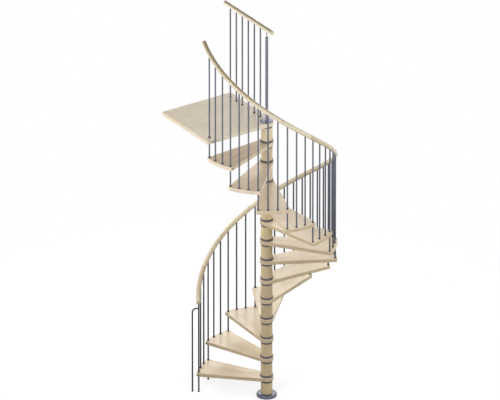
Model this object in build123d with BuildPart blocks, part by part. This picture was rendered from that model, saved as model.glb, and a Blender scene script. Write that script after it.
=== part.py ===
from build123d import *
from math import acos, atan, ceil, cos, degrees, radians, sin
import os

# Spiral staircase of beech treads on a central column, in millimetres and degrees.
# The origin is on the floor on the column's axis, +Z up, +Y away from the viewer.
# The stair climbs clockwise seen from above, so angles fall as heights rise.

# Climb
tread_count = 13
rise = 218
last_rise = 222
tread_turn = 24.605
first_nose_angle = 173.48

# Treads and landing
tread_thickness = 38
tread_radius = 707
nose_overhang = 2.2
back_overhang = 1.3
tread_corner = 18
arris = 3
landing_reach = 752
landing_corner = 8

# Column
hub_radius = 69
tube_radius = 30
tube_wall = 3
tube_clearance = 0.3
spacer_radius = 58.5
upper_ring_radius = 65
upper_ring_height = 23
lower_ring_radius = 57.5
lower_ring_height = 24
ring_edge = 2

# Floor flange
flange_radius = 103
flange_edge = 15
flange_rim = 30
flange_height = 35
flange_shoulder = 62
flange_floor = 6

# Column cap and newel post on the landing
cap_radius = 64
cap_rim = 6
cap_height = 11
newel_radius = 15.5
newel_pin_radius = 5
newel_pin_length = 56

# Balusters
baluster_radius = 8
baluster_inset = 22
balusters_per_tread = 3
baluster_clearance = 0.4
landing_baluster_count = 6
landing_baluster_start = 115
landing_baluster_spacing = 108

# Handrails
rail_radius = 24
rail_height = 902
rail_foot_overrun = 10.5
rail_head_overrun = 9.2
rail_section_count = 13
rail_group_count = 6
rail_end_round = 6
rail_seat_gap = 0.3
landing_rail_height = 986
landing_rail_front = 100

# Bent brace rod beside the first baluster
brace_standoff = 42
brace_height = 931
brace_bend = 45

# Levels and angles worked out from the driving dimensions
landing_top = tread_count * rise + last_rise
flight_turn = tread_count * tread_turn
landing_angle = first_nose_angle - flight_turn
baluster_turn = tread_turn / balusters_per_tread
baluster_circle = tread_radius - baluster_inset
rail_slope = degrees(atan(rise / (baluster_circle * radians(tread_turn))))
rail_pitch = rise * 360 / tread_turn
rail_rise = rail_radius / cos(radians(rail_slope))
rail_foot = rise + rail_height
step_plane = Plane.XY.rotated((0, 0, landing_angle))

os.makedirs("parts", exist_ok=True)


def polar(radius, angle, height=0):
    return Vector(radius * cos(radians(angle)), radius * sin(radians(angle)), height)


def tread_top(step):
    return landing_top if step > tread_count else step * rise


def write(piece, name):
    piece.part.label = name
    export_step(piece.part, f"parts/{name}.step")


# Floor flange: a low dome with a full round edge and a blind socket for the tube
with BuildPart() as base_flange:
    with BuildSketch(Plane.XZ) as profile:
        with BuildLine():
            Polyline(
                (0, 0),
                (flange_radius, 0),
                (flange_radius, flange_rim),
                (flange_shoulder, flange_height),
                (0, flange_height),
                close=True,
            )
        make_face()
        fillet(profile.vertices().group_by(Axis.X)[-1].sort_by(Axis.Y)[-1], flange_edge)
    revolve(axis=Axis.Z)
    with Locations((0, 0, flange_height)):
        Hole(tube_radius + tube_clearance, depth=flange_height - flange_floor)
write(base_flange, "base_flange")

# Steel tube that all spacers, rings, treads and the landing are threaded on
with BuildPart() as column_tube:
    with BuildSketch(Plane.XY.offset(flange_floor)):
        Circle(tube_radius)
        Circle(tube_radius - tube_wall, mode=Mode.SUBTRACT)
    extrude(amount=landing_top - flange_floor)
write(column_tube, "column_tube")

# Wooden spacers between one ring and the next
with BuildPart() as column_spacers:
    for step in range(1, tread_count + 2):
        top = tread_top(step) - tread_thickness - lower_ring_height
        bottom = flange_height if step == 1 else tread_top(step - 1) + upper_ring_height
        with BuildSketch(Plane.XY.offset(bottom)):
            Circle(spacer_radius)
            Circle(tube_radius + tube_clearance, mode=Mode.SUBTRACT)
        extrude(amount=top - bottom)
write(column_spacers, "column_spacers")

# Dark rings on top of each tread's hub, which the spacers stand on
with BuildPart() as upper_rings:
    for step in range(1, tread_count + 1):
        with BuildSketch(Plane.XY.offset(tread_top(step))):
            Circle(upper_ring_radius)
            Circle(tube_radius + tube_clearance, mode=Mode.SUBTRACT)
        extrude(amount=upper_ring_height)
    rims = upper_rings.edges().filter_by(GeomType.CIRCLE).group_by(SortBy.RADIUS)[-1]
    chamfer(rims, ring_edge)
write(upper_rings, "upper_rings")

# Dark rings under each hub
with BuildPart() as lower_rings:
    for step in range(1, tread_count + 2):
        level = tread_top(step) - tread_thickness - lower_ring_height
        with BuildSketch(Plane.XY.offset(level)):
            Circle(lower_ring_radius)
            Circle(tube_radius + tube_clearance, mode=Mode.SUBTRACT)
        extrude(amount=lower_ring_height)
write(lower_rings, "lower_rings")

# Treads: a concentric rim, and two straight edges that run off the round hub as tangents
hub_tangent = degrees(acos(hub_radius / tread_radius))
back_angle = -tread_turn - back_overhang
tread_middle = (nose_overhang + back_angle) / 2
for step in range(1, tread_count + 1):
    nose_angle = first_nose_angle - (step - 1) * tread_turn
    underside = tread_top(step) - tread_thickness
    with BuildPart() as tread:
        plan_plane = Plane.XY.rotated((0, 0, nose_angle)).offset(underside)
        with BuildSketch(plan_plane) as plan:
            with BuildLine():
                nose_corner = polar(tread_radius, nose_overhang)
                back_corner = polar(tread_radius, back_angle)
                nose_root = polar(hub_radius, nose_overhang + hub_tangent)
                back_root = polar(hub_radius, back_angle - hub_tangent)
                ThreePointArc(back_corner, polar(tread_radius, tread_middle), nose_corner)
                Line(nose_corner, nose_root)
                ThreePointArc(nose_root, polar(-hub_radius, tread_middle), back_root)
                Line(back_root, back_corner)
            make_face()
            fillet(plan.vertices().sort_by(SortBy.DISTANCE)[-2:], tread_corner)
        extrude(amount=tread_thickness)
        with Locations((0, 0, tread_top(step))):
            Hole(tube_radius + tube_clearance)
        with Locations(polar(baluster_circle, nose_angle, tread_top(step))):
            Hole(baluster_radius + baluster_clearance)
        if step == 1:
            with Locations(polar(baluster_circle, nose_angle - tread_turn, tread_top(step))):
                Hole(baluster_radius + baluster_clearance)
        rims = [face.outer_wire().edges() for face in tread.faces().filter_by(Axis.Z)]
        fillet(rims, arris)
    write(tread, f"tread_{step:02d}")

# Landing: a square board whose corner is rounded round the column
with BuildPart() as landing:
    board_plane = step_plane.offset(landing_top - tread_thickness)
    with BuildSketch(board_plane) as board:
        with Locations(((landing_reach - hub_radius) / 2, (hub_radius - landing_reach) / 2)):
            Rectangle(landing_reach + hub_radius, landing_reach + hub_radius)
        fillet(board.vertices().sort_by(SortBy.DISTANCE)[1:], landing_corner)
        fillet(board.vertices().sort_by(SortBy.DISTANCE)[0], hub_radius)
    extrude(amount=tread_thickness)
    with Locations((0, 0, landing_top)):
        Hole(tube_radius + tube_clearance)
    with Locations(polar(baluster_circle, landing_angle, landing_top)):
        Hole(baluster_radius + baluster_clearance)
    rims = [face.outer_wire().edges() for face in landing.faces().filter_by(Axis.Z)]
    fillet(rims, arris)
write(landing, "landing")

# Cap over the column's end, slightly domed
with BuildPart() as column_cap:
    with BuildSketch(Plane.XZ):
        with BuildLine():
            Line((0, landing_top), (cap_radius, landing_top))
            Line((cap_radius, landing_top), (cap_radius, landing_top + cap_rim))
            Line((cap_radius, landing_top + cap_rim), (newel_radius, landing_top + cap_height))
            Line((newel_radius, landing_top + cap_height), (0, landing_top + cap_height))
            Line((0, landing_top + cap_height), (0, landing_top))
        make_face()
    revolve(axis=Axis.Z)
write(column_cap, "column_cap")

# Newel post with a domed head, and a thin pin up to the landing's handrail
landing_rail_underside = landing_top + landing_rail_height
newel_foot = landing_top + cap_height
newel_shoulder = landing_rail_underside - newel_pin_length - newel_radius + newel_pin_radius
with BuildPart() as newel_post:
    with BuildSketch(Plane.XZ):
        with BuildLine():
            Line((0, newel_foot), (newel_radius, newel_foot))
            Line((newel_radius, newel_foot), (newel_radius, newel_shoulder))
            RadiusArc(
                (newel_radius, newel_shoulder),
                (newel_pin_radius, newel_shoulder + newel_radius - newel_pin_radius),
                -(newel_radius - newel_pin_radius),
            )
            Line(
                (newel_pin_radius, newel_shoulder + newel_radius - newel_pin_radius),
                (newel_pin_radius, landing_rail_underside),
            )
            Line((newel_pin_radius, landing_rail_underside), (0, landing_rail_underside))
            Line((0, landing_rail_underside), (0, newel_foot))
        make_face()
    revolve(axis=Axis.Z)
write(newel_post, "newel_post")

# Straight row of balusters along the landing's open side
with BuildPart() as landing_balusters:
    with BuildSketch(step_plane.offset(landing_top)):
        for place in range(landing_baluster_count):
            with Locations((0, -landing_baluster_start - place * landing_baluster_spacing)):
                Circle(baluster_radius)
    extrude(amount=landing_rail_height)
write(landing_balusters, "landing_balusters")

# Straight handrail above them
rail_front = step_plane.offset(landing_rail_underside + rail_radius)
rail_front.origin = rail_front.from_local_coords((0, landing_rail_front, 0))
with BuildPart() as landing_handrail:
    with BuildSketch(Plane(rail_front.origin, x_dir=rail_front.x_dir, z_dir=-rail_front.y_dir)):
        Circle(rail_radius)
    extrude(amount=landing_rail_front + landing_reach)
    ends = landing_handrail.faces().filter_by(GeomType.PLANE)
    fillet(ends.edges(), rail_end_round)
write(landing_handrail, "landing_handrail")


def foot_height(place):
    """Height that a baluster stands on: the floor, or the tread it is let into."""
    if place in (0, balusters_per_tread):
        return 0
    return tread_top(ceil(place / balusters_per_tread))


def add_baluster(place):
    """One round bar from its foot up to the handrail, cut off along the rail's slope."""
    angle = first_nose_angle - place * baluster_turn
    foot = foot_height(place)
    top = rail_foot + place * rise / balusters_per_tread - rail_seat_gap
    spare = 2 * baluster_radius
    with BuildSketch(Plane(polar(baluster_circle, angle, foot))) as section:
        Circle(baluster_radius)
    extrude(section.sketch, amount=top + spare - foot)
    climb = polar(1, angle - 90)
    lean = Vector(0, 0, cos(radians(rail_slope))) - climb * sin(radians(rail_slope))
    cut_plane = Plane(polar(baluster_circle, angle, top), x_dir=polar(1, angle), z_dir=lean)
    with BuildSketch(cut_plane) as cut:
        Circle(2 * spare)
    extrude(cut.sketch, amount=2 * spare, mode=Mode.SUBTRACT)


# First baluster, from the floor through the first tread's nose
with BuildPart() as first_baluster:
    add_baluster(0)
write(first_baluster, "first_baluster")

# Other balusters, a group for each tread
for step in range(1, tread_count + 1):
    with BuildPart() as balusters:
        for place in range(balusters_per_tread):
            add_baluster(1 + (step - 1) * balusters_per_tread + place)
    write(balusters, f"balusters_{step:02d}")

# Brace rod: up from the floor, and bent over to the first baluster
outward = polar(1, first_nose_angle)
brace_plane = Plane(outward * baluster_circle, x_dir=outward, z_dir=outward.cross(Vector(0, 0, 1)))
brace_offset = baluster_inset + brace_standoff
with BuildPart() as brace_rod:
    with BuildLine(brace_plane) as bend:
        FilletPolyline((brace_offset, 0), (brace_offset, brace_height), (0, brace_height), radius=brace_bend)
    with BuildSketch(Plane(bend.line @ 0)):
        Circle(baluster_radius)
    sweep()
    with BuildSketch(Plane(outward * baluster_circle)):
        Circle(baluster_radius + rail_seat_gap)
    extrude(amount=2 * brace_height, mode=Mode.SUBTRACT)
write(brace_rod, "brace_rod")

# Handrail: a round bar wound round the stair as a left-handed helix, in equal sections
rail_turn = (flight_turn + rail_foot_overrun + rail_head_overrun) / rail_section_count


def add_rail_section(section):
    """One section of the handrail, counted from the foot of the stair."""
    start_turn = section * rail_turn - rail_foot_overrun
    start_height = rail_foot + rail_rise + start_turn * rail_pitch / 360
    with BuildLine() as winding:
        turn = Helix(
            rail_pitch,
            rail_turn * rail_pitch / 360,
            baluster_circle,
            center=(0, 0, start_height),
            lefthand=True,
            mode=Mode.PRIVATE,
        )
        add(turn.rotate(Axis.Z, first_nose_angle - start_turn))
    with BuildSketch(Plane(winding.line @ 0, z_dir=winding.line % 0)) as bar:
        Circle(rail_radius)
    sweep(bar.sketch, path=winding.line, is_frenet=True)


# Neighbouring sections are in different groups, so no two of a group's sections touch
for group in range(rail_group_count):
    with BuildPart() as handrail:
        for section in range(group, rail_section_count, rail_group_count):
            add_rail_section(section)
    write(handrail, f"handrail_{group + 1}")
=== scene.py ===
from math import acos, cos, degrees, pi, radians, sin, sqrt

import bmesh
import bpy
from mathutils import Matrix, Vector


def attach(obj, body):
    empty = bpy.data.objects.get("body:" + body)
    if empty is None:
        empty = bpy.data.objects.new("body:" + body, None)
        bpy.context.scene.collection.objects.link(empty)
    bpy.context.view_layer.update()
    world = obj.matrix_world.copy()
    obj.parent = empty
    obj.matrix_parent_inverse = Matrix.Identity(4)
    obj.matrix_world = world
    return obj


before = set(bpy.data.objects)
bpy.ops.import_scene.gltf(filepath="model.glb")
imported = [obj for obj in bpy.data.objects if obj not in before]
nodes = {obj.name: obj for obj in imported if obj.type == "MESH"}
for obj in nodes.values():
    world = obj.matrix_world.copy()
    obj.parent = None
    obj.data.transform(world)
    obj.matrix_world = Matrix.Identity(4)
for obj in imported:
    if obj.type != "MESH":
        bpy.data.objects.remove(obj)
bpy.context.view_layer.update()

# Dimensions of the staircase, in metres and degrees, as in the frame
treads = 13
rise = 0.218
last_rise = 0.222
tread_turn = 24.605
first_nose = 173.48
thickness = 0.038
nose_overhang = 2.2
hub_radius = 0.069
tread_radius = 0.707
rod_circle = 0.685
rods_per_tread = 3
rail_foot_overrun = 10.5
rail_head_overrun = 9.2
rail_sections = 13
rail_nodes = 6
landing_rods = 6
landing_rod_start = 0.115
landing_rod_spacing = 0.108
brace_offset = 0.064
landing_top = treads * rise + last_rise
landing_angle = first_nose - treads * tread_turn
rail_turn = (treads * tread_turn + rail_foot_overrun + rail_head_overrun) / rail_sections
rail_pitch = rise * 360 / tread_turn

# Dimensions that only the materials need, in metres
stave_width = 0.047
tread_stave = 0.61
landing_stave = 0.74
glue_line = 0.0008
walking_radius = 0.42
walking_half_width = 0.06
walking_edge = 0.26
edge_start = 0.001
edge_full = 0.004
joint_half_width = 0.0004
joint_fade = 0.0011
smudge_reach = 0.02


def polar(radius, angle, height=0.0):
    """Point at a radius from the column's axis and an angle round it."""
    return Vector((radius * cos(radians(angle)), radius * sin(radians(angle)), height))


def rod_angle(place):
    """Angle of a baluster, counted from the one at the first tread's nose."""
    return first_nose - place * tread_turn / rods_per_tread


def tread_top(step):
    return step * rise


def under_board(points):
    """The same points on the underside of the board that they lie on."""
    return [point - Vector((0, 0, thickness)) for point in points]


def linear(colour):
    """Colour written as 0-255 screen values, as the linear values that a shader takes."""
    return [((value / 255 + 0.055) / 1.055) ** 2.4 for value in colour] + [1.0]


class Shade:
    """The nodes of one material or world, with short calls that add them."""

    def __init__(self, owner):
        owner.use_nodes = True
        self.owner = owner
        self.tree = owner.node_tree
        self.tree.nodes.clear()
        coordinates = self.node("TexCoord").outputs
        self.place = coordinates["Object"]
        self.normal = coordinates["Normal"]

    def feed(self, socket, value):
        if isinstance(value, bpy.types.NodeSocket):
            self.tree.links.new(value, socket)
        else:
            socket.default_value = value

    def node(self, kind, inputs=None, **settings):
        made = self.tree.nodes.new("ShaderNode" + kind)
        for key, value in settings.items():
            setattr(made, key, value)
        for key, value in (inputs or {}).items():
            self.feed(made.inputs[key], value)
        return made

    def math(self, operation, a, b=0.0):
        return self.node("Math", {0: a, 1: b}, operation=operation).outputs[0]

    def plus(self, a, b):
        return self.math("ADD", a, b)

    def minus(self, a, b):
        return self.math("SUBTRACT", a, b)

    def times(self, a, b):
        return self.math("MULTIPLY", a, b)

    def off_middle(self, value):
        """How far a value's fraction is from a half."""
        return self.math("ABSOLUTE", self.minus(self.math("FRACT", value), 0.5))

    def vector(self, operation, a, b):
        return self.node("VectorMath", {0: a, 1: b}, operation=operation).outputs[0]

    def parts(self, vector):
        return self.node("SeparateXYZ", {0: vector}).outputs

    def join(self, x, y, z):
        return self.node("CombineXYZ", {0: x, 1: y, 2: z}).outputs[0]

    def turned(self, vector, angle):
        """The vector turned about Z by an angle in degrees."""
        inputs = {"Vector": vector, "Angle": radians(angle)}
        return self.node("VectorRotate", inputs, rotation_type="Z_AXIS").outputs[0]

    def noise(self, vector, scale, detail=3.0, rough=0.55):
        scaled = self.vector("MULTIPLY", vector, scale)
        inputs = {"Vector": scaled, "Scale": 1.0, "Detail": detail, "Roughness": rough}
        return self.node("TexNoise", inputs).outputs[0]

    def chance(self, value):
        """A fixed random number from 0 to 1 for a whole number."""
        return self.node("TexWhiteNoise", {"W": value}, noise_dimensions="1D").outputs["Value"]

    def span(self, value, low, high, out_low=0.0, out_high=1.0, smooth=False):
        """The value taken from the range low to high into the other range, and held at its ends."""
        return self.node(
            "MapRange",
            {0: value, 1: low, 2: high, 3: out_low, 4: out_high},
            interpolation_type="SMOOTHSTEP" if smooth else "LINEAR",
        ).outputs[0]

    def mix(self, share, a, b, blend="MIX"):
        return self.node("Mix", {0: share, 6: a, 7: b}, data_type="RGBA", blend_type=blend).outputs[2]

    def tinted(self, colour, tint):
        """The colour times a tint, which has a value for each of red, green and blue."""
        return self.mix(1.0, colour, self.join(*tint), "MULTIPLY")

    def seen_directly(self):
        """1 for a ray from the camera, a mirrored or a refracted one, and 0 for one that lights."""
        path = self.node("LightPath").outputs
        seen = self.math("MAXIMUM", path["Is Camera Ray"], path["Is Glossy Ray"])
        return self.math("MAXIMUM", seen, path["Is Transmission Ray"])

    def finish(self, colour, rough, height, depth=0.0002, strength=0.3, **fixed):
        """Ends a material with its shader. fixed has constant values for the shader's own sockets."""
        bump = self.node("Bump", {"Height": height, "Distance": depth, "Strength": strength})
        inputs = {"Base Color": colour, "Roughness": rough, "Normal": bump.outputs[0]}
        for key, value in fixed.items():
            inputs[key.replace("_", " ")] = value
        shader = self.node("BsdfPrincipled", inputs)
        self.node("OutputMaterial", {"Surface": shader.outputs[0]})
        return self.owner


def new_shade(name):
    return Shade(bpy.data.materials.new(name))


# Beech: pale and common wood, deep streaks, the two hues that staves lean to, worn wood, the smudge
# beside a joint of the rail, and the joint
BEECH_LIGHT = linear((231, 219, 194))
BEECH_MID = linear((212, 193, 162))
BEECH_DEEP = linear((177, 146, 112))
BEECH_ROSE = linear((213, 190, 169))
BEECH_SAND = linear((212, 197, 160))
BEECH_WORN = linear((178, 158, 136))
BEECH_SMUDGE = linear((196, 166, 130))
BEECH_JOINT = linear((110, 82, 58))

# How fine each part of the grain is, per metre: along the fibres, and twice across them
STREAK_SCALE = (1.7, 62.0, 62.0)
FIBRE_SCALE = (14.0, 520.0, 520.0)
RING_SCALE = (0.7, 11.0, 11.0)
FLECK_SCALE = (150.0, 900.0, 900.0)

# The same stave gets a second random number, and staves of other rows get other numbers
SECOND_DRAW = 31.7
ROW_STEP = 17.0

BOARD_LACQUER = {"Specular_IOR_Level": 0.2, "Coat_Weight": 0.5, "Coat_Roughness": 0.22}
SPACER_LACQUER = {"Specular_IOR_Level": 0.2, "Coat_Weight": 0.15, "Coat_Roughness": 0.2}
RAIL_LACQUER = {"Specular_IOR_Level": 0.2, "Coat_Weight": 0.9, "Coat_Roughness": 0.14}
RAIL_GRAIN = {"strength": 0.8, "spread": 0.08, "fleck": 0.2}


def beech(shade, grain, piece, strength, tint, spread=0.1, fleck=0.4):
    """Colour, roughness and height of beech. grain is a place in metres with its X along the fibres.
    piece is the stave's number, strength how much the streaks show, spread how far staves differ in
    level, and fleck how much the flecks show."""
    luck = shade.chance(piece)
    lean = shade.chance(shade.plus(piece, SECOND_DRAW))
    # Each stave comes from another place in the wood
    elsewhere = shade.join(shade.times(luck, 9.0), shade.times(lean, 4.0), 0.0)
    fibre = shade.vector("ADD", grain, elsewhere)
    streaks = shade.noise(fibre, STREAK_SCALE, 5.0, 0.6)
    fine = shade.noise(fibre, FIBRE_SCALE)
    rings = shade.math("SINE", shade.times(shade.noise(fibre, RING_SCALE, 2.0), 62.0))
    flecks = shade.span(shade.noise(fibre, FLECK_SCALE, 1.0), 0.63, 0.72)
    depth = shade.times(shade.span(rings, -1.0, 1.0), 0.28)
    depth = shade.plus(shade.span(streaks, 0.3, 0.72), depth)
    depth = shade.plus(depth, shade.times(fine, 0.22))
    depth = shade.span(depth, 0.1, 1.35)
    wood = shade.mix(shade.times(depth, strength), BEECH_LIGHT, BEECH_MID)
    wood = shade.mix(shade.span(depth, 0.72, 1.0, 0.0, 0.45 * strength), wood, BEECH_DEEP)
    wood = shade.mix(0.3, wood, shade.mix(lean, BEECH_ROSE, BEECH_SAND))
    wood = shade.mix(shade.times(flecks, fleck), wood, BEECH_DEEP)
    level = shade.span(luck, 0.0, 1.0, 1.03 - spread, 1.03)
    wood = shade.tinted(wood, [level] * 3)
    wood = shade.tinted(wood, tint)
    height = shade.minus(shade.times(fine, 0.5), shade.times(flecks, 0.5))
    rough = shade.span(streaks, 0.2, 0.8, 0.46, 0.58)
    return wood, rough, height


def staves(shade, local, length):
    """Number of the stave that a point of a glued board lies in, and how near it is to a glue line."""
    along, across = shade.parts(local)[:2]
    row = shade.math("DIVIDE", across, stave_width)
    row_number = shade.math("FLOOR", row)
    slide = shade.times(shade.chance(row_number), length)
    column = shade.math("DIVIDE", shade.plus(along, slide), length)
    number = shade.plus(shade.times(row_number, ROW_STEP), shade.math("FLOOR", column))
    line = shade.math(
        "MAXIMUM",
        shade.span(shade.off_middle(row), 0.5 - glue_line / stave_width, 0.5),
        shade.span(shade.off_middle(column), 0.5 - glue_line / length, 0.5),
    )
    return number, line


def board(shade, local, length, worn, glue, **look):
    """Beech staves glued into a board. worn is where feet have dulled it; glue is how far the glue
    lines show, and look has beech's own values."""
    number, line = staves(shade, local, length)
    colour, rough, height = beech(shade, local, number, **look)
    colour = shade.mix(shade.times(worn, 0.16), colour, BEECH_WORN)
    rough = shade.plus(rough, shade.times(worn, 0.12))
    colour = shade.mix(shade.times(line, glue), colour, BEECH_DEEP)
    height = shade.minus(height, shade.times(line, 0.8))
    return colour, rough, height


def edges(shade, colour, height, top, tint):
    """Painted shade on a board's sides and underside: the wood from a few millimetres below the top
    down takes a tint, which stands in for the weaker light on faces that don't look up.
    """
    share = shade.span(height, top - edge_full, top - edge_start, 1.0, 0.0)
    return shade.mix(share, colour, shade.tinted(colour, tint))


def tread_tint_with_painted_light(step):
    """Tint of a tread's wood, with painted light in it: the middle treads are paler, a painted sheen,
    and the upper ones paler and bluer, painted light that lifts them.
    """
    if step > treads - 2:
        return (1.14, 1.13, 1.18)
    if 3 < step < 7:
        return (1.12, 1.115, 1.10)
    return (1.07, 1.06, 1.06)


def tread_side_shade_tint(step):
    """Tint of the painted shade on a tread's sides; the upper treads' sides get a paler tint, painted
    light for the brighter light they face.
    """
    paler = {11: (0.84, 0.82, 0.76), 12: (0.95, 0.96, 0.96), 13: (0.95, 0.96, 0.96)}
    return paler.get(step, (0.74, 0.705, 0.62))


def tread_material(step):
    shade = new_shade(f"beech tread {step:02d}")
    middle = first_nose - (step - 0.5) * tread_turn
    turned = shade.turned(shade.place, -middle)
    local = shade.vector("ADD", turned, (step * 1.37, step * 0.731, step * 0.29))
    reach = shade.parts(turned)[0]
    path = shade.math("ABSOLUTE", shade.minus(reach, walking_radius))
    path = shade.span(path, walking_half_width, walking_edge, 1.0, 0.0, smooth=True)
    patches = shade.span(shade.noise(shade.place, (9.0, 9.0, 9.0)), 0.35, 0.7)
    worn = shade.times(path, patches)
    colour, rough, height = board(
        shade, local, tread_stave, worn, glue=0.25, strength=0.75, tint=tread_tint_with_painted_light(step)
    )
    # Painted shade on the tread's sides and underside, paler on the upper treads
    colour = edges(shade, colour, shade.parts(turned)[2], tread_top(step), tread_side_shade_tint(step))
    return shade.finish(colour, rough, height, strength=0.35, **BOARD_LACQUER)


def landing_material():
    shade = new_shade("beech landing")
    local = shade.vector("ADD", shade.turned(shade.place, -landing_angle), (0.21, 0.33, 0.0))
    worn = shade.span(shade.noise(shade.place, (5.0, 5.0, 5.0)), 0.4, 0.8)
    tint = (1.11, 1.085, 1.08)
    colour, rough, height = board(
        shade, local, landing_stave, worn, glue=0.2, strength=0.38, tint=tint, spread=0.05
    )
    place = shade.parts(shade.place)
    # Painted light and shade: the landing is darker at its left end and paler and bluer towards its
    # right, standing in for how the lamps fall across it
    painted_light_share = shade.span(place[0], -1.0, -0.25, smooth=True)
    painted_light_tint = shade.mix(painted_light_share, shade.join(0.955, 0.945, 0.92), shade.join(1.10, 1.15, 1.20))
    colour = shade.mix(1.0, colour, painted_light_tint, "MULTIPLY")
    # Painted shade on the landing's sides and underside
    colour = edges(shade, colour, place[2], landing_top, (0.88, 0.92, 0.96))
    return shade.finish(colour, rough, height, strength=0.35, **BOARD_LACQUER)


def spacer_material():
    shade = new_shade("beech spacers")
    x, y, z = shade.parts(shade.place)
    number = shade.math("FLOOR", shade.math("DIVIDE", z, rise))
    grain = shade.join(z, x, y)
    tint = (0.842, 0.809, 0.681)
    colour, rough, height = beech(shade, grain, number, strength=1.1, tint=tint, spread=0.12)
    # Painted light: the spacers' level by height, brighter at the foot, dimmer from 0.8 m to 1.2 m and
    # brighter above 2.1 m, with the top three paler and bluer, standing in for how the light falls on
    # the column
    foot_light_level = shade.span(z, 0.3, 0.8, 1.14, 1.0)
    upper_light_level = shade.span(z, 1.2, 2.1, 0.95, 1.13, smooth=True)
    colour = shade.tinted(colour, [shade.times(foot_light_level, upper_light_level)] * 3)
    top_three = shade.math("GREATER_THAN", number, treads - 2.5)
    colour = shade.mix(top_three, colour, shade.tinted(colour, (1.08, 1.155, 1.33)))
    return shade.finish(colour, rough, height, **SPACER_LACQUER)


def painted_top_shade(shade, colour, share, low):
    """Painted shade on the top of a rail: the wood darkened where its normal points up, standing in
    for the little light that reaches the rail's upper side. It starts where the normal's Z is low.
    """
    up = shade.parts(shade.normal)[2]
    share = shade.times(shade.span(up, low, 0.85, smooth=True), share)
    return shade.mix(share, colour, shade.tinted(colour, (0.42, 0.35, 0.22)))


def rail_joints(shade, colour, section, length):
    """Dark joint lines with smudges beside them, but none on the cut face at the rail's foot."""
    end = shade.off_middle(section)
    inside = shade.math("GREATER_THAN", section, 0.5)
    smudge = shade.span(end, 0.5 - smudge_reach / length, 0.5, 0.0, 0.35, smooth=True)
    colour = shade.mix(shade.times(smudge, inside), colour, BEECH_SMUDGE)
    joint = shade.span(end, 0.5 - joint_fade / length, 0.5 - joint_half_width / length)
    joint = shade.times(joint, inside)
    return shade.mix(shade.times(joint, 0.75), colour, BEECH_JOINT)


def browned(shade, colour, section):
    """Browner wood in the rail's lowest section and from the fifth to the ninth."""
    foot = shade.math("LESS_THAN", section, 1.0)
    foot = shade.times(foot, shade.span(section, 0.0, 0.25, 0.2, 0.9))
    bend = shade.times(shade.math("GREATER_THAN", section, 4.0), shade.math("LESS_THAN", section, 9.0))
    bend = shade.times(bend, shade.span(section, 5.5, 7.0, 0.5, 1.0))
    share = shade.math("MAXIMUM", foot, bend)
    return shade.mix(share, colour, shade.tinted(colour, (0.77, 0.735, 0.69)))


def rail_material():
    """The wound rail's wood. Its angle jumps 10 degrees past the foot, where there is no rail."""
    shade = new_shade("beech handrail")
    margin = 10.0
    cut = first_nose + rail_foot_overrun + margin - 180.0
    x, y, z = shade.parts(shade.turned(shade.place, -cut))
    angle = shade.times(shade.math("ARCTAN2", y, x), degrees(1.0))
    turn = shade.minus(180.0 - margin, angle)
    section = shade.math("DIVIDE", turn, rail_turn)
    radius = shade.math("SQRT", shade.plus(shade.times(x, x), shade.times(y, y)))
    degree_length = sqrt(rod_circle**2 + (rail_pitch / (2 * pi)) ** 2) * radians(1.0)
    grain = shade.join(
        shade.times(turn, degree_length),
        shade.minus(radius, rod_circle),
        shade.minus(z, shade.times(turn, rail_pitch / 360)),
    )
    number = shade.math("FLOOR", section)
    tint = (1.0, 1.05, 1.06)
    colour, rough, height = beech(shade, grain, number, tint=tint, **RAIL_GRAIN)
    colour = rail_joints(shade, colour, section, rail_turn * degree_length)
    colour = browned(shade, colour, section)
    # Painted shade on the rail's upper side, growing from 3.0 m to 3.6 m up
    colour = painted_top_shade(shade, colour, shade.span(z, 3.0, 3.6, 0.0, 0.84, smooth=True), 0.15)
    # Painted shade on the rail's side that faces the column, at half strength in its two lowest
    # sections, fading out over the third and fourth
    side_x, side_y = shade.parts(shade.turned(shade.normal, -cut))[:2]
    outward = shade.plus(shade.times(side_x, x), shade.times(side_y, y))
    column_side_shade = shade.span(shade.math("DIVIDE", outward, radius), -0.9, -0.3, 1.0, 0.0, smooth=True)
    column_side_shade = shade.times(column_side_shade, shade.span(section, 2.0, 4.0, 0.5, 0.0, smooth=True))
    colour = shade.mix(column_side_shade, colour, shade.tinted(colour, (0.66, 0.60, 0.48)))
    return shade.finish(colour, rough, height, **RAIL_LACQUER)


def landing_rail_material():
    shade = new_shade("beech landing handrail")
    along_rail = -landing_angle - 90.0
    local = shade.turned(shade.place, along_rail)
    tint = (1.12, 1.18, 1.19)
    colour, rough, height = beech(shade, local, 5.0, tint=tint, **RAIL_GRAIN)
    # Painted shade on the landing rail's upper side
    colour = painted_top_shade(shade, colour, 0.82, 0.4)
    facing_end = shade.math("ABSOLUTE", shade.parts(shade.turned(shade.normal, along_rail))[0])
    end_grain = shade.span(facing_end, 0.7, 0.95)
    colour = shade.mix(end_grain, colour, shade.tinted(colour, (0.73, 0.78, 0.68)))
    return shade.finish(colour, rough, height, **RAIL_LACQUER)


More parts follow.
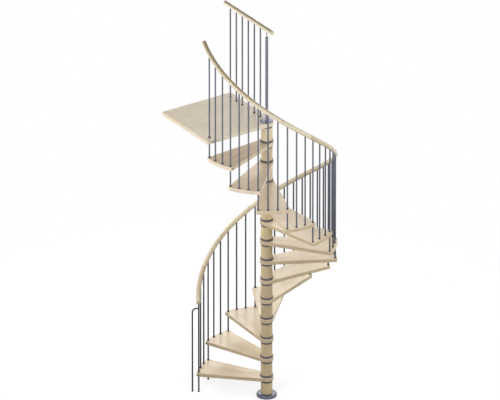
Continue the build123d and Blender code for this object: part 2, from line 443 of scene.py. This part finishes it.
def coated(name, colour, rough, metallic=0.0, coat=0.0, specular=0.5, low=None):
    """Powder-coated or moulded surface with a fine orange peel and faint handling marks.
    low is the colour at the floor; the paint turns from it to the full colour between 0.3 m and 3.2 m
    up."""
    shade = new_shade(name)
    peel = shade.noise(shade.place, (900.0, 900.0, 900.0), 2.0)
    cloud = shade.noise(shade.place, (14.0, 14.0, 5.0), 4.0)
    rub = shade.span(shade.noise(shade.place, (60.0, 60.0, 9.0), 5.0, 0.7), 0.6, 0.78)
    base = linear(colour)
    pale = [value * 1.35 + 0.01 for value in base[:3]] + [1.0]
    if low is not None:
        height = shade.parts(shade.place)[2]
        base = shade.mix(shade.span(height, 0.3, 3.2, smooth=True), linear(low), base)
    deep = shade.tinted(base, (0.82, 0.82, 0.82))
    paint = shade.mix(shade.span(cloud, 0.3, 0.7), deep, base)
    paint = shade.mix(shade.times(rub, 0.32), paint, pale)
    gloss = shade.span(cloud, 0.25, 0.75, rough - 0.05, rough + 0.06)
    gloss = shade.plus(gloss, shade.times(rub, 0.1))
    fixed = {
        "Metallic": metallic,
        "Specular_IOR_Level": specular,
        "Coat_Weight": coat,
        "Coat_Roughness": 0.3,
    }
    return shade.finish(paint, gloss, peel, depth=0.00006, strength=0.25, **fixed)


def drawn_steel(colour):
    shade = new_shade("drawn steel")
    lines = shade.noise(shade.place, (30.0, 30.0, 2200.0))
    pale = [value * 1.2 for value in linear(colour)[:3]] + [1.0]
    steel = shade.mix(shade.span(lines, 0.3, 0.7), linear(colour), pale)
    rough = shade.span(lines, 0.2, 0.8, 0.28, 0.42)
    return shade.finish(steel, rough, lines, depth=0.00005, Metallic=1.0)


rod_paint = coated("rod powder coat", (108, 112, 124), 0.46, specular=0.3, low=(50, 52, 58))
newel_paint = coated("newel powder coat", (131, 133, 147), 0.44, specular=0.3)
cap_paint = coated("cap powder coat", (120, 123, 143), 0.32, metallic=0.35, coat=0.2)
flange_paint = coated("flange powder coat", (98, 100, 116), 0.28, metallic=0.45, coat=0.2)
ring_plastic = coated("moulded ring", (96, 91, 91), 0.42, coat=0.1)
collar_plastic = coated("moulded collar", (52, 52, 60), 0.45, coat=0.05)
screw_black = coated("blackened screw", (60, 60, 64), 0.38, metallic=0.7)
rail_wood = rail_material()

finishes = {
    "base_flange": flange_paint,
    "column_tube": drawn_steel((150, 152, 156)),
    "column_spacers": spacer_material(),
    "upper_rings": ring_plastic,
    "lower_rings": ring_plastic,
    "landing": landing_material(),
    "column_cap": cap_paint,
    "newel_post": newel_paint,
    "landing_balusters": rod_paint,
    "first_baluster": rod_paint,
    "brace_rod": rod_paint,
    "landing_handrail": landing_rail_material(),
}
for step in range(1, treads + 1):
    finishes[f"tread_{step:02d}"] = tread_material(step)
    finishes[f"balusters_{step:02d}"] = rod_paint
for group in range(1, rail_nodes + 1):
    finishes[f"handrail_{group}"] = rail_wood


def dress(name, material):
    """Gives a CAD node its finished material."""
    mesh = nodes[name].data
    if not mesh.materials:
        mesh.materials.append(material)
    for slot in range(len(mesh.materials)):
        mesh.materials[slot] = material


def bevel(piece, name, width, segments, angle):
    """Rounds a piece's edges where its faces meet at more than an angle in degrees."""
    made = piece.modifiers.new(name, "BEVEL")
    made.width = width
    made.segments = segments
    made.limit_method = "ANGLE"
    made.angle_limit = radians(angle)


for name, material in finishes.items():
    dress(name, material)
for group in range(1, rail_nodes + 1):
    bevel(nodes[f"handrail_{group}"], "eased ends", width=0.0012, segments=2, angle=50)


# Small turned pieces: collars, washers and screws. A profile is (radius, height) from the foot up,
# in millimetres
COLLAR = [
    (7.9, 0), (12.2, 0), (12.6, 0.8), (12.6, 5.2), (11.6, 6.4),
    (10.0, 7.0), (9.4, 9.0), (9.2, 12.0), (8.6, 13.0), (7.9, 13.0),
]
FLOOR_FOOT = [
    (7.9, 0), (10.8, 0), (11.2, 0.8), (11.2, 4.0),
    (10.2, 5.0), (9.2, 7.5), (8.5, 8.5), (7.9, 8.5),
]
WASHER = [(7.9, 0), (7.9, -4.0), (10.4, -4.0), (11.4, -3.2), (11.6, 0)]
NOSE_SCREW = [(7.8, -0.8), (7.8, 1.0), (7.0, 2.4), (5.4, 3.1), (3.4, 3.3), (3.1, 1.2), (0, 1.2)]
UNDER_SCREW = [
    (9.5, 0.5), (9.5, -1.2), (7.0, -1.4), (6.8, -4.2),
    (5.6, -5.4), (3.2, -5.6), (2.9, -3.2), (0, -3.2),
]
PIECE_SIDES = 28


def turned_piece(name, profile, places, material):
    """Turned pieces in one mesh. places are matrices, or points for pieces that stand upright."""
    mesh = bpy.data.meshes.new(name)
    made = bmesh.new()
    for place in places:
        matrix = place if isinstance(place, Matrix) else Matrix.Translation(place)
        rows = []
        for radius, height in profile:
            sides = PIECE_SIDES if radius > 0 else 1
            rows.append([
                made.verts.new(matrix @ polar(radius / 1000, 360 * side / PIECE_SIDES, height / 1000))
                for side in range(sides)
            ])
        for low, high in zip(rows, rows[1:]):
            for side in range(PIECE_SIDES):
                after = (side + 1) % PIECE_SIDES
                corners = [low[side % len(low)], low[after % len(low)]]
                corners += [high[after % len(high)], high[side % len(high)]]
                made.faces.new(list(dict.fromkeys(corners)))
    bmesh.ops.recalc_face_normals(made, faces=made.faces)
    for face in made.faces:
        face.smooth = True
    made.to_mesh(mesh)
    made.free()
    mesh.materials.append(material)
    piece = bpy.data.objects.new(name, mesh)
    bpy.context.scene.collection.objects.link(piece)
    bevel(piece, "crisp edges", width=0.0003, segments=1, angle=35)
    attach(piece, "root")


def facing(point, direction):
    """Matrix that stands a turned piece on a point, with its axis along a direction."""
    return Matrix.Translation(point) @ direction.to_track_quat("Z", "Y").to_matrix().to_4x4()


def tread_fittings(step):
    """Collars on a tread, washers where a bar goes through it, and screws under the other bars."""
    first = rods_per_tread * (step - 1)
    top = tread_top(step)
    feet = [polar(rod_circle, rod_angle(first + n), top) for n in range(rods_per_tread + 1)]
    through = [feet[0], feet[-1]] if step == 1 else feet[:1]
    fixed = feet[1:-1] if step == 1 else feet[1:]
    turned_piece(f"foot_collars_{step:02d}", COLLAR, feet, collar_plastic)
    turned_piece(f"under_washers_{step:02d}", WASHER, under_board(through), collar_plastic)
    turned_piece(f"under_screws_{step:02d}", UNDER_SCREW, under_board(fixed), screw_black)


def nose_screw_places():
    """Screws on the nose faces, which touch the hub's circle, in line with the corner balusters."""
    places = []
    hub_tangent = degrees(acos(hub_radius / tread_radius))
    for step in range(1, treads + 1):
        nose = first_nose - (step - 1) * tread_turn
        face = nose + nose_overhang + hub_tangent
        along = rod_circle * cos(radians(face - 90 - nose))
        point = polar(hub_radius, face, tread_top(step) - thickness / 2) + polar(along, face - 90)
        places.append(facing(point, polar(1, face)))
    corner = landing_turn @ Vector((rod_circle, hub_radius, landing_top - thickness / 2))
    places.append(facing(corner, polar(1, landing_angle + 90)))
    return places


def landing_fittings():
    feet = []
    for n in range(landing_rods):
        offset = landing_rod_start + n * landing_rod_spacing
        feet.append(landing_turn @ Vector((0, -offset, landing_top)))
    corner = polar(rod_circle, landing_angle, landing_top)
    turned_piece("landing_collars", COLLAR, feet + [corner], collar_plastic)
    turned_piece("landing_under_screws", UNDER_SCREW, under_board(feet), screw_black)
    turned_piece("landing_under_washer", WASHER, under_board([corner]), collar_plastic)


def floor_fittings():
    """Feet of the three bars that stand on the floor."""
    feet = [
        polar(rod_circle, first_nose),
        polar(rod_circle, rod_angle(rods_per_tread)),
        polar(rod_circle + brace_offset, first_nose),
    ]
    turned_piece("floor_feet", FLOOR_FOOT, feet, collar_plastic)


landing_turn = Matrix.Rotation(radians(landing_angle), 4, "Z")
for step in range(1, treads + 1):
    tread_fittings(step)
turned_piece("nose_screws", NOSE_SCREW, nose_screw_places(), screw_black)
landing_fittings()
floor_fittings()

# Floor, light and camera
WHITE = (1.0, 1.0, 1.0, 1.0)
FLOOR_RADIUS = 6.0
FLOOR_DROP = 0.0005
FLOOR_GLOW = 0.68
FADE_START = 1.6
FADE_END = 4.5
AMBIENT = 0.042


def floor_material():
    """Pale floor that shows white, keeps the stair's shadow and fades out before its own rim."""
    shade = new_shade("pale floor")
    speck = shade.noise(shade.place, (40.0, 40.0, 40.0), 4.0)
    colour = shade.mix(speck, (0.36, 0.36, 0.36, 1.0), (0.38, 0.38, 0.38, 1.0))
    diffuse = shade.node("BsdfDiffuse", {"Color": colour, "Roughness": 0.8})
    strength = shade.times(shade.seen_directly(), FLOOR_GLOW)
    glow = shade.node("Emission", {"Color": WHITE, "Strength": strength})
    ground = shade.node("AddShader", {0: diffuse.outputs[0], 1: glow.outputs[0]})
    flat = shade.vector("MULTIPLY", shade.place, (1.0, 1.0, 0.0))
    away = shade.node("VectorMath", {0: flat}, operation="LENGTH").outputs["Value"]
    fade = shade.span(away, FADE_START, FADE_END, smooth=True)
    clear = shade.node("BsdfTransparent")
    mixed = shade.node("MixShader", {0: fade, 1: ground.outputs[0], 2: clear.outputs[0]})
    shade.node("OutputMaterial", {"Surface": mixed.outputs[0]})
    return shade.owner


def add_floor():
    mesh = bpy.data.meshes.new("floor")
    ground = bmesh.new()
    bmesh.ops.create_circle(ground, cap_ends=True, segments=96, radius=FLOOR_RADIUS)
    ground.to_mesh(mesh)
    ground.free()
    floor = bpy.data.objects.new("floor", mesh)
    floor.location.z = -FLOOR_DROP
    mesh.materials.append(floor_material())
    bpy.context.scene.collection.objects.link(floor)


def add_world():
    """A dim world for light, which is white where it is looked at."""
    world = bpy.data.worlds.new("studio")
    bpy.context.scene.world = world
    shade = Shade(world)
    dim = shade.node("Background", {"Color": WHITE, "Strength": AMBIENT})
    white = shade.node("Background", {"Color": WHITE, "Strength": 1.0})
    both = shade.node("MixShader", {0: shade.seen_directly(), 1: dim.outputs[0], 2: white.outputs[0]})
    shade.node("OutputWorld", {"Surface": both.outputs[0]})


# Name, azimuth from the viewer's side, height, width, tallness, power
LIGHTS = [
    ("left high", -110, 3.9, 4.8, 3.2, 76),
    ("left low", -110, 2.7, 4.8, 2.8, 40),
    ("left front", -75, 3.9, 4.8, 3.2, 53),
    ("front left", -30, 3.6, 4.6, 3.0, 84),
    ("front strip", -34, 3.7, 0.7, 2.4, 38),
    ("front right", 30, 3.6, 4.6, 3.0, 75),
    ("right low", 80, 3.4, 4.4, 3.0, 94),
    ("right high", 90, 5.2, 4.4, 3.0, 86),
    ("back right", 150, 2.7, 2.6, 1.8, 30),
    ("back low", 180, 2.6, 2.6, 1.4, 25),
    ("back middle", 180, 3.6, 2.6, 1.4, 16),
    ("back high", 180, 5.4, 2.6, 1.4, 20),
    ("back left", 210, 2.7, 2.6, 1.8, 34),
    ("left back", 235, 3.6, 2.6, 1.8, 40),
]
LIGHT_DISTANCE = 4.5
LIGHT_AIM = Vector((0, 0, 2.0))
MIRRORED_WITHIN = 60


def add_light(name, azimuth, height, width, tallness, power):
    """Lamp at an azimuth round the stair. Seen from low down, a lamp at the side or at a back corner
    would turn the lacquered treads white, so those aren't mirrored."""
    lamp = bpy.data.lights.new(name, "AREA")
    lamp.shape = "RECTANGLE"
    lamp.size = width
    lamp.size_y = tallness
    lamp.energy = power
    lit = bpy.data.objects.new(name, lamp)
    lit.location = polar(LIGHT_DISTANCE, azimuth - 90, height)
    lit.visible_glossy = azimuth == 180 or abs(azimuth) < MIRRORED_WITHIN
    lit.rotation_euler = (LIGHT_AIM - lit.location).to_track_quat("-Z", "Y").to_euler()
    bpy.context.scene.collection.objects.link(lit)


def add_camera():
    """The photo is close to a parallel view, so the camera has a very long lens."""
    elevation = 26.1
    lens = 1300.0
    sensor = 36.0
    frame_width = 4.990
    aim = Vector((-0.1667, 0.0, 2.1796))
    eye = bpy.data.cameras.new("camera")
    eye.sensor_width = sensor
    eye.lens = lens
    eye.clip_start = 10.0
    eye.clip_end = 1000.0
    camera = bpy.data.objects.new("camera", eye)
    back = Vector((0, -cos(radians(elevation)), sin(radians(elevation))))
    camera.location = aim + back * frame_width * lens / sensor
    camera.rotation_euler = (radians(90 - elevation), 0, 0)
    bpy.context.scene.collection.objects.link(camera)
    bpy.context.scene.camera = camera
    bpy.context.scene.view_settings.view_transform = "Standard"


add_floor()
add_world()
for light in LIGHTS:
    add_light(*light)
add_camera()
